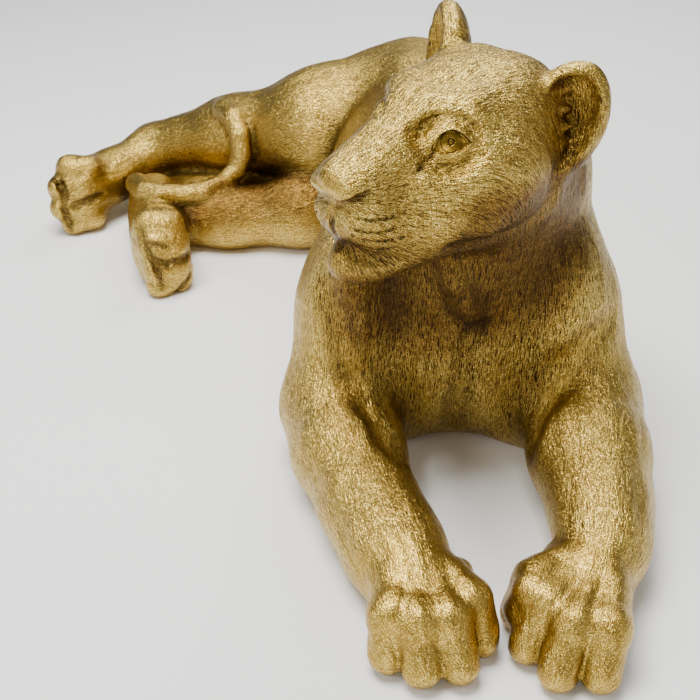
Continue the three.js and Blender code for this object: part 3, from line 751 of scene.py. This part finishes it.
def furRun(p, n):
    # the directions of all stretches, of the tail and of the head, weighed by how near each one is
    s = furShape
    m = inModel(p)
    total = np.zeros((len(p), 3))
    lines = [(a, b, r, r, way) for a, b, r, way in s["stretches"]]
    ends = zip(tailLine[:-1], tailLine[1:])
    lines += [(a[:3], b[:3], a[3], b[3], np.subtract(b[:3], a[:3])) for a, b in ends]
    for a, b, ra, rb, way in lines:
        way = np.array(way, float) / np.linalg.norm(way)
        total += np.exp(-np.clip(cone(a, b, ra, rb)(m) / s["reach"], -6, 30))[:, None] * way
    q = toHead(p)
    nearHead = egg(*s["headEgg"])(q)
    share = np.exp(-np.clip(nearHead / s["reach"], -9, 30))[:, None]
    total += share * (headRun(q) @ headTurned.T.astype(float))
    return unit(total - n * (total * n).sum(1)[:, None])


def hash3(i, j, k, seed):
    # a number from 0 to 1 for each whole-numbered place
    h = (i * 374761393 + j * 668265263 + k * 2147483647 + seed * 144665) & 0xffffffff
    h = ((h ^ (h >> 13)) * 1274126177) & 0xffffffff
    return ((h ^ (h >> 16)) & 0xffff) / 65535.0


def grain(p, size, seed):
    # smooth noise from -1 to 1: the numbers at the corners of cells of this size, eased between them
    q = p.astype(np.float64) / size + 512
    base = np.floor(q).astype(np.int64)
    f = q - base
    f = f * f * f * (f * (f * 6 - 15) + 10)
    total = 0
    for dx in (0, 1):
        for dy in (0, 1):
            for dz in (0, 1):
                corner = np.array([dx, dy, dz])
                w = np.where(corner, f, 1 - f).prod(1)
                total = total + w * hash3(*(base + corner).T, seed)
    return total * 2 - 1


def combed(p, run, size, length, seed, steps=5):
    # noise drawn out along the fur
    total = sum(grain(p + run * length * (k / (steps - 1) - 0.5), size, seed) for k in range(steps))
    return total / math.sqrt(steps)


skinNormals = pointNormals(points, tris)
run = furRun(points, skinNormals)
for _ in range(furShape["smooth"]):
    run = run + averaged(run, edges, len(points))
    run = unit(run - skinNormals * (run * skinNormals).sum(1)[:, None])


def standsOver(reach):
    # how far the figure stands over each point, looked for at this reach from the skin
    return np.clip(1 - lioness((points + skinNormals * reach).astype(f32)) / reach, 0, 1)


def fade(d, over):
    # 1 on and inside a form, falling to 0 this far outside it
    return np.clip(1 - d / over, 0, 1)


# where the old finish has darkened, where painted shade lies (under the head, on the chest, the near shank
# and the low cheeks, and partly in hollows and creases) and where fur is missing: shares, and sizes in
# metres
agedAndPaintedShade = {
    "hollows": [(0.25, 0.008), (0.35, 0.022), (0.40, 0.050)],  # share and reach
    "out": 0.040, "up": 0.090, "headFade": 0.080,  # where the head is looked for over a point
    "headShare": 0.85, "fromBeside": 0.15,
    "chest": ([0.005, 0.020, 0.260], [0, 0.020, 0.110], 0.125, 0.085), "chestFade": 0.025,
    "shank": ([-0.18, 0.52, 0.06], [-0.40, 0.52, 0.045], 0.060, 0.050), "shankFade": 0.020,
    "chestShare": 0.20, "shankShare": 0.75, "cheekShare": 1.35, "smooth": 4,
    "creaseReach": 0.010, "creases": (0.10, 0.34), "headCreases": 0.06,  # where a crease begins to count
    "creaseShare": 0.80, "onHead": 0.40, "onPaws": 0.35,  # and what is taken off on head and paws
    "faceLines": [
        (mouthLine, 0.0030), (nostril, 0.0016), (philtrum, 0.0012), (tearLine, 0.0012), (whiskers, 0.0010),
    ],
    "soleLines": (0.8, 0.0035), "lidLine": 0.0015,
    "legs": 0.42, "head": 0.24, "nose": 0.75, "roundEye": 0.50, "eyeFade": 0.0050,  # how smooth each is
    "leafed": [
        # middle, size and smoothness: both forepaws, then the hind legs with their broad leaf
        ([0.095, -0.330, 0.03], 0.085, 0.66), ([-0.065, -0.330, 0.03], 0.085, 0.66),
        ([-0.400, 0.500, 0.06], 0.200, 0.50), ([-0.520, 0.640, 0.08], 0.160, 0.50),
        ([-0.200, 0.600, 0.12], 0.150, 0.35),
    ],
}
modelPoints, headPoints = inModel(points), toHead(points)
facePoints = oneSide(headPoints)
fineHead = np.clip((0.16 - distance(headPoints, skullMiddle)) / 0.03, 0, 1)
fromEye = eyeball(facePoints)


def paintedShadePlaces():
    # painted shade: the head's shadow under it, more so in front; then the chest, the near shank and the low
    # parts of the cheeks
    s = agedAndPaintedShade
    above = modelPoints + skinNormals * s["out"] + np.array([0, 0, s["up"]])
    facing = np.clip(-2 * skinNormals[:, 1], 0, 1)
    underHead = fade(head(above.astype(f32)), s["headFade"])
    underHead = underHead * (s["fromBeside"] + (1 - s["fromBeside"]) * facing)
    chest = fade(cone(*s["chest"])(modelPoints), s["chestFade"])
    chest = chest * np.clip((points[:, 2] - 0.04) / 0.20, 0, 1)
    shank = fade(cone(*s["shank"])(modelPoints), s["shankFade"])
    shank = shank * np.clip(skinNormals[:, 2] + 0.3, 0, 1)
    dark = s["headShare"] * underHead + s["chestShare"] * chest * facing + s["shankShare"] * shank
    dark = np.clip(dark, 0, 1)
    for _ in range(s["smooth"]):
        dark = 0.5 * dark + 0.5 * averaged(dark[:, None], edges, len(points))[:, 0]
    # painted shade on the low, down-facing parts of the cheeks
    cheek = fineHead * np.clip((headPoints[:, 1] + 0.11) / 0.04, 0, 1)
    cheek = cheek * np.clip(0.40 - skinNormals[:, 2], 0, 1)
    return np.clip(np.maximum(dark, s["cheekShare"] * cheek), 0, 1)


def carvedPlaces():
    # creases and cut lines, dark partly with the old finish and partly with painted crease shade, and a
    # painted shadow along the upper lid; the whiskers' lines are broken up
    s = agedAndPaintedShade
    r = facePoints
    onHead = np.where(fineHead > 0, 1.0, 0.0)
    onPaws = np.clip((-0.24 - modelPoints[:, 1]) / 0.03, 0, 1)
    least, span = s["creases"]
    depth = np.clip((standsOver(s["creaseReach"]) - least - s["headCreases"] * fineHead) / span, 0, 1)
    carved = (s["creaseShare"] - s["onHead"] * fineHead - s["onPaws"] * onPaws) * depth
    for line, wide in s["faceLines"]:
        broken = np.clip(0.75 + 1.6 * grain(points, 0.0035, 11), 0, 1) if line is whiskers else 1
        carved = np.maximum(carved, onHead * broken * fade(line(r), wide))
    share, wide = s["soleLines"]
    for _, line in soleCreases:
        carved = np.maximum(carved, share * fade(line(modelPoints), wide))
    # a painted shadow along the lids' slit, strongest under the upper lid and faint along the lower
    paintedLidShadow = fade(np.abs(almond(r) + 0.0004), s["lidLine"]) * fade(lidBall(r), 0.002)
    paintedLidShadow *= np.clip(0.6 + ((facePoints - np.array(eyeAt)) @ gaze)[:, 2] / 0.010, 0.15, 1)
    return np.maximum(carved, onHead * paintedLidShadow)


def smoothPlaces():
    # places with little or no fur: eyes, nose and paws, and to some share the head and the legs
    s = agedAndPaintedShade
    smooth = np.where(fromEye < 0.0012, 1.0, s["roundEye"] * fade(fromEye - lidWall, s["eyeFade"]))
    smooth = np.maximum(smooth, s["nose"] * fade(distance(headPoints, noseTip) - 0.022, 0.012))
    maned = np.clip((0.20 - distance(modelPoints, [0.01, 0, 0.28])) / 0.05, 0, 1)
    smooth = np.maximum(smooth, s["legs"] * (1 - maned) * (1 - fineHead))
    smooth = np.maximum(smooth, s["head"] * fineHead)
    for middle, size, share in s["leafed"]:
        near = np.clip(1.25 - distance(modelPoints, middle) / size, 0, 0.25) * 4
        smooth = np.maximum(smooth, share * near)
    return smooth


def irisPlaces():
    # how far each point lies from the line of sight of the nearer eye, in millimetres
    widest = 0.040
    fromIris = facePoints - (np.array(eyeAt) + eyeRadii[1] * gaze[:, 1] + 0.0050 * gaze[:, 2])
    along = fromIris @ gaze[:, 1]
    aside = np.sqrt(np.maximum((fromIris ** 2).sum(1) - along ** 2, 0))
    return np.where(np.abs(along) < 0.008, np.minimum(aside, widest), widest) * 1000


# for the material: the amber of hollow places is partly patina and partly painted occlusion shade
places = {
    "furRun": run, "hollow": sum(share * standsOver(reach) for share, reach in agedAndPaintedShade["hollows"]),
    "paintedShade": paintedShadePlaces(), "smoothPlace": smoothPlaces(), "iris": irisPlaces(),
    "carvedLine": carvedPlaces(),
}
tufts = combed(points, run, *furShape["tuft"]) * (1 - fineHead) * furShape["relief"]
headTufts = combed(points, run, *furShape["headTuft"]) * fineHead * (1 - places["smoothPlace"])
tufts += headTufts * furShape["headRelief"]
tufts *= np.clip(points[:, 2] / furShape["floorFade"], 0, 1)
points = (points + skinNormals * tufts[:, None]).astype(f32)
points[:, 2] = np.maximum(points[:, 2], 0)
print("fur laid")


def newPiece(name, points, tris, attributes):
    # a smooth mesh of these triangles, its attributes given point by point
    mesh = bpy.data.meshes.new(name)
    mesh.from_pydata(points.tolist(), [], tris.tolist())
    mesh.polygons.foreach_set("use_smooth", [True] * len(tris))
    for label, values in attributes.items():
        kind = "FLOAT_VECTOR" if values.ndim == 2 else "FLOAT"
        layer = mesh.attributes.new(label, kind, "POINT")
        layer.data.foreach_set("vector" if values.ndim == 2 else "value", values.astype(f32).ravel())
    mesh.update()
    piece = bpy.data.objects.new(name, mesh)
    bpy.context.scene.collection.objects.link(piece)
    return piece


skin = newPiece("lionessSkin", points, tris, places)


class Signal:
    # a value inside a material: sums and products of signals add their Math nodes
    def __init__(self, finish, socket):
        self.finish, self.socket = finish, socket

    def maths(self, operation, first, second):
        return self.finish.node("Math", {"operation": operation}, {0: first, 1: second})

    def __add__(self, other):
        return self.maths("ADD", self, other)

    def __radd__(self, other):
        return self.maths("ADD", other, self)

    def __sub__(self, other):
        return self.maths("SUBTRACT", self, other)

    def __rsub__(self, other):
        return self.maths("SUBTRACT", other, self)

    def __mul__(self, other):
        return self.maths("MULTIPLY", self, other)

    def least(self, other):
        return self.maths("MINIMUM", self, other)

    def power(self, other):
        return self.maths("POWER", self, other)


class Finish:
    # a material; node() adds a node from its type, its settings and what its sockets get
    def __init__(self, name):
        self.material = bpy.data.materials.new(name)
        self.material.use_nodes = True
        self.tree = self.material.node_tree
        self.tree.nodes.clear()

    def node(self, kind, settings=None, sockets=None, output=0):
        made = self.tree.nodes.new("ShaderNode" + kind)
        for key, value in (settings or {}).items():
            setattr(made, key, value)
        for key, value in (sockets or {}).items():
            if isinstance(value, Signal):
                self.tree.links.new(value.socket, made.inputs[key])
            else:
                made.inputs[key].default_value = value
        return Signal(self, made.outputs[output]) if len(made.outputs) else None

    def ramp(self, value, low, high):
        # from 0 to 1 while the value goes from low to high, eased
        return self.node("MapRange", {"interpolation_type": "SMOOTHSTEP"},
                         {"Value": value, "From Min": low, "From Max": high})

    def mix(self, share, one, other):
        # from one colour to the other as share goes from 0 to 1
        return self.node("Mix", {"data_type": "RGBA"}, {0: share, 6: one, 7: other}, 2)


leafLook = {
    "gold": (0.430, 0.256, 0.034, 1), "pale": (1.000, 0.790, 0.230, 1), "amber": (0.460, 0.275, 0.024, 1),
    "deep": (0.200, 0.090, 0.012, 1), "darkBrown": (0.040, 0.019, 0.006, 1),
    # strokes along the fur: cells in a metre, length in metres and steps
    "fine": (880.0, 0.0056, 6), "tuft": (300.0, 0.012, 5), "wave": (105.0, 0.034, 4),
    "leafScale": 560.0, "glintScale": 1050.0, "patchScale": 22.0,
    # between which values of the noise each effect comes in
    "groove": (0.42, 0.28), "crest": (0.55, 0.85), "waveDip": (0.40, 0.10), "leafTop": (0.55, 0.66),
    "glintDip": (0.42, 0.33), "glintTop": (0.54, 0.64), "dull": (0.62, 0.38), "wornAndPaintedShade": (0.42, 0.72),
    # shares of the dark brown (patina, painted shade and painted glint specks), of the pale leaf and painted
    # glints, and of the amber and deep tones
    "dark": {"groove": 0.85, "wave": 0.10, "glint": 0.36, "paintedShade": 0.42, "iris": 0.7, "carved": 0.85},
    "shine": {"crest": 0.45, "leaf": 0.35, "glint": 0.80},
    "amberShare": {"hollow": 0.60, "iris": 0.5}, "deepShare": {"patch": 0.20, "paintedShade": 0.75},
    # heights in metres, and roughness
    "height": {"fine": 0.0008, "tuft": 0.0006, "wave": 0.0010, "leaf": 0.0009, "glint": 0.00045,
               "iris": 0.0005},
    "rough": {"leaf": 0.22, "groove": 0.28, "glint": 0.12}, "metalLost": 0.10,
    # rings of the eye, in millimetres from its middle: the disc, the iris and the pupil
    "disc": (10.6, 9.8), "irisEdge": (11.2, 10.6, 9.4, 10.0), "pupilEdge": (4.2, 3.4, 1.4, 2.2),
}


def strokes(finish, place, run, scale, length, steps):
    # noise averaged at steps along the fur, so that it is drawn out into strokes
    total = None
    for k in range(steps):
        shift = length * (k / (steps - 1) - 0.5)
        spot = finish.node("VectorMath", {"operation": "MULTIPLY_ADD"}, {0: run, 1: (shift,) * 3, 2: place})
        value = finish.node("TexNoise", {}, {"Vector": spot, "Scale": scale, "Detail": 0.0})
        total = value if total is None else total + value
    return (total * (1 / steps) - 0.5) * (math.sqrt(steps) * 1.6) + 0.5


def ring(finish, value, outer, outerFull, inner, innerFull):
    # 1 between two circles, falling to 0 outside the outer and inside the inner one
    return finish.ramp(value, outer, outerFull) * finish.ramp(value, inner, innerFull)


def goldLeaf():
    # gold leaf over a brown ground: pale on the crests of the fur, dark in its grooves; painted shade
    # darkens it where the figure shades it, and painted glints fleck it pale and dark
    look = leafLook
    dark, shine, high, dull = look["dark"], look["shine"], look["height"], look["rough"]
    finish = Finish("goldLeafFinish")
    ramp = finish.ramp

    def stored(name, output=2):
        return finish.node("Attribute", {"attribute_name": name}, output=output)

    def noise(scale, detail, roughness=0.5):
        settings = {"Vector": place, "Scale": scale, "Detail": detail, "Roughness": roughness}
        return finish.node("TexNoise", {}, settings)

    place = finish.node("TexCoord", output=3)
    run = stored("furRun", 1)
    hollow, smooth, paintedShade = stored("hollow"), stored("smoothPlace"), stored("paintedShade")
    iris, carved = stored("iris"), stored("carvedLine")
    fine, tuft, wave = (strokes(finish, place, run, *look[name]) for name in ("fine", "tuft", "wave"))
    leaf, glint = noise(look["leafScale"], 1.0, 0.6), noise(look["glintScale"], 0.0)
    patch = noise(look["patchScale"], 3.0, 0.6)

    furry = 1 - smooth * 0.90
    bare = 1 - smooth.power(2)
    groove = ramp(fine, *look["groove"]) * furry
    crest = ramp(fine, *look["crest"]) * furry
    disc = ramp(iris, *look["disc"])
    lines = ring(finish, iris, *look["irisEdge"]) * 0.7 + ring(finish, iris, *look["pupilEdge"])
    lines = lines.least(1)

    patinaAndPaintedShade = groove * dark["groove"] + ramp(wave, *look["waveDip"]) * furry * dark["wave"]
    # painted glints: dark specks where the glint noise dips
    patinaAndPaintedShade = patinaAndPaintedShade + ramp(glint, *look["glintDip"]) * bare * dark["glint"]
    # painted shade under the head and on the chest, the near shank and the low cheeks
    patinaAndPaintedShade = patinaAndPaintedShade + ramp(paintedShade, 0.25, 1.0) * dark["paintedShade"]
    # creases and cut lines: partly patina, partly painted crease shade and a painted lid shadow
    patinaAndPaintedShade = (patinaAndPaintedShade + lines * dark["iris"] + carved * dark["carved"]).least(1)
    paleAndPaintedGlints = crest * shine["crest"] + ramp(leaf, *look["leafTop"]) * shine["leaf"]
    # painted glints: pale specks where the glint noise peaks
    paleAndPaintedGlints = paleAndPaintedGlints + ramp(glint, *look["glintTop"]) * bare * shine["glint"]
    # amber in the hollows, partly patina and partly painted occlusion shade; amber also fills the iris
    warm = ramp(hollow, 0.10, 0.50) * look["amberShare"]["hollow"] + disc * look["amberShare"]["iris"]
    wornAndPaintedShade = ramp(patch, *look["wornAndPaintedShade"]) * look["deepShare"]["patch"]
    # painted shade also turns the tone deep brown
    wornAndPaintedShade = wornAndPaintedShade + ramp(paintedShade, 0.05, 0.80) * look["deepShare"]["paintedShade"]
    colour = finish.mix(paleAndPaintedGlints.least(1), look["gold"], look["pale"])
    colour = finish.mix(warm.least(1), colour, look["amber"])
    colour = finish.mix(wornAndPaintedShade.least(1), colour, look["deep"])
    colour = finish.mix(patinaAndPaintedShade, colour, look["darkBrown"])

    height = fine * furry * high["fine"] + tuft * furry * high["tuft"] + wave * furry * high["wave"]
    height = height + leaf * bare * high["leaf"] + glint * bare * high["glint"] - lines * high["iris"]
    bump = finish.node("Bump", {}, {"Height": height, "Distance": 1.0, "Strength": 1.0})
    rough = dull["leaf"] + groove * dull["groove"] + ramp(glint, *look["dull"]) * dull["glint"]
    shader = finish.node("BsdfPrincipled", {}, {
        "Base Color": colour, "Roughness": rough, "Metallic": 1 - patinaAndPaintedShade * look["metalLost"],
        "Normal": bump,
    })
    finish.node("OutputMaterial", {}, {"Surface": shader})
    return finish.material


skin.data.materials.append(goldLeaf())
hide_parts("lioness")
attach(skin, "root")
print("gold leaf laid")

studio = {
    "floor": (0.95, 0.95, 0.95, 1), "world": 0.20,
    "lamps": [
        # name, place, aim, size, power, colour
        ("keyLamp", (-0.55, 0.00, 2.5), (-0.05, 0.10, 0.2), 1.4, 110, (1, 0.99, 0.96)),
        ("leftLamp", (-1.9, -1.2, 1.5), (0, -0.05, 0.2), 0.8, 18, (1, 1, 1)),
        ("fillLamp", (1.9, -1.1, 1.6), (0, -0.1, 0.2), 0.8, 9, (1, 1, 1)),
        ("rimLamp", (0.5, 1.9, 1.9), (-0.1, 0.2, 0.2), 1.0, 26, (1, 1, 1)),
        ("lowLamp", (-0.2, -2.2, 0.4), (0, 0, 0.05), 0.8, 11, (1, 1, 1)),
    ],
}


def plainFloor():
    # a wide square just under the figure
    half = 12.0
    mesh = bpy.data.meshes.new("floor")
    corners = [(-half, -half, 0), (half, -half, 0), (half, half, 0), (-half, half, 0)]
    mesh.from_pydata(corners, [], [(0, 1, 2, 3)])
    finish = Finish("paleFloor")
    shader = finish.node("BsdfPrincipled", {}, {"Base Color": studio["floor"], "Roughness": 0.9})
    finish.node("OutputMaterial", {}, {"Surface": shader})
    mesh.materials.append(finish.material)
    floor = bpy.data.objects.new("floor", mesh)
    bpy.context.scene.collection.objects.link(floor)


def lamp(name, place, aim, size, power, colour):
    # a soft square lamp, turned so that it looks at its aim
    light = bpy.data.lights.new(name, "AREA")
    light.size, light.energy, light.color = size, power, colour
    holder = bpy.data.objects.new(name, light)
    holder.location = place
    way = np.subtract(aim, place) / np.linalg.norm(np.subtract(aim, place))
    holder.rotation_euler = (math.acos(-way[2]), 0, math.atan2(way[1], way[0]) - math.pi / 2)
    bpy.context.scene.collection.objects.link(holder)


plainFloor()
for one in studio["lamps"]:
    lamp(*one)
world = bpy.data.worlds.new("studioAir")
world.use_nodes = True
world.node_tree.nodes["Background"].inputs["Color"].default_value = (1, 1, 1, 1)
world.node_tree.nodes["Background"].inputs["Strength"].default_value = studio["world"]
bpy.context.scene.world = world

view = {"place": (-0.125, -1.207, 0.8625), "pitch": 56.0, "lens": 56.571, "sensor": 36.0}
lens = bpy.data.cameras.new("camera")
lens.sensor_fit, lens.sensor_width, lens.lens = "HORIZONTAL", view["sensor"], view["lens"]
camera = bpy.data.objects.new("camera", lens)
camera.location = view["place"]
camera.rotation_euler = (math.radians(view["pitch"]), 0, 0)
bpy.context.scene.collection.objects.link(camera)
bpy.context.scene.camera = camera
print("studio set")
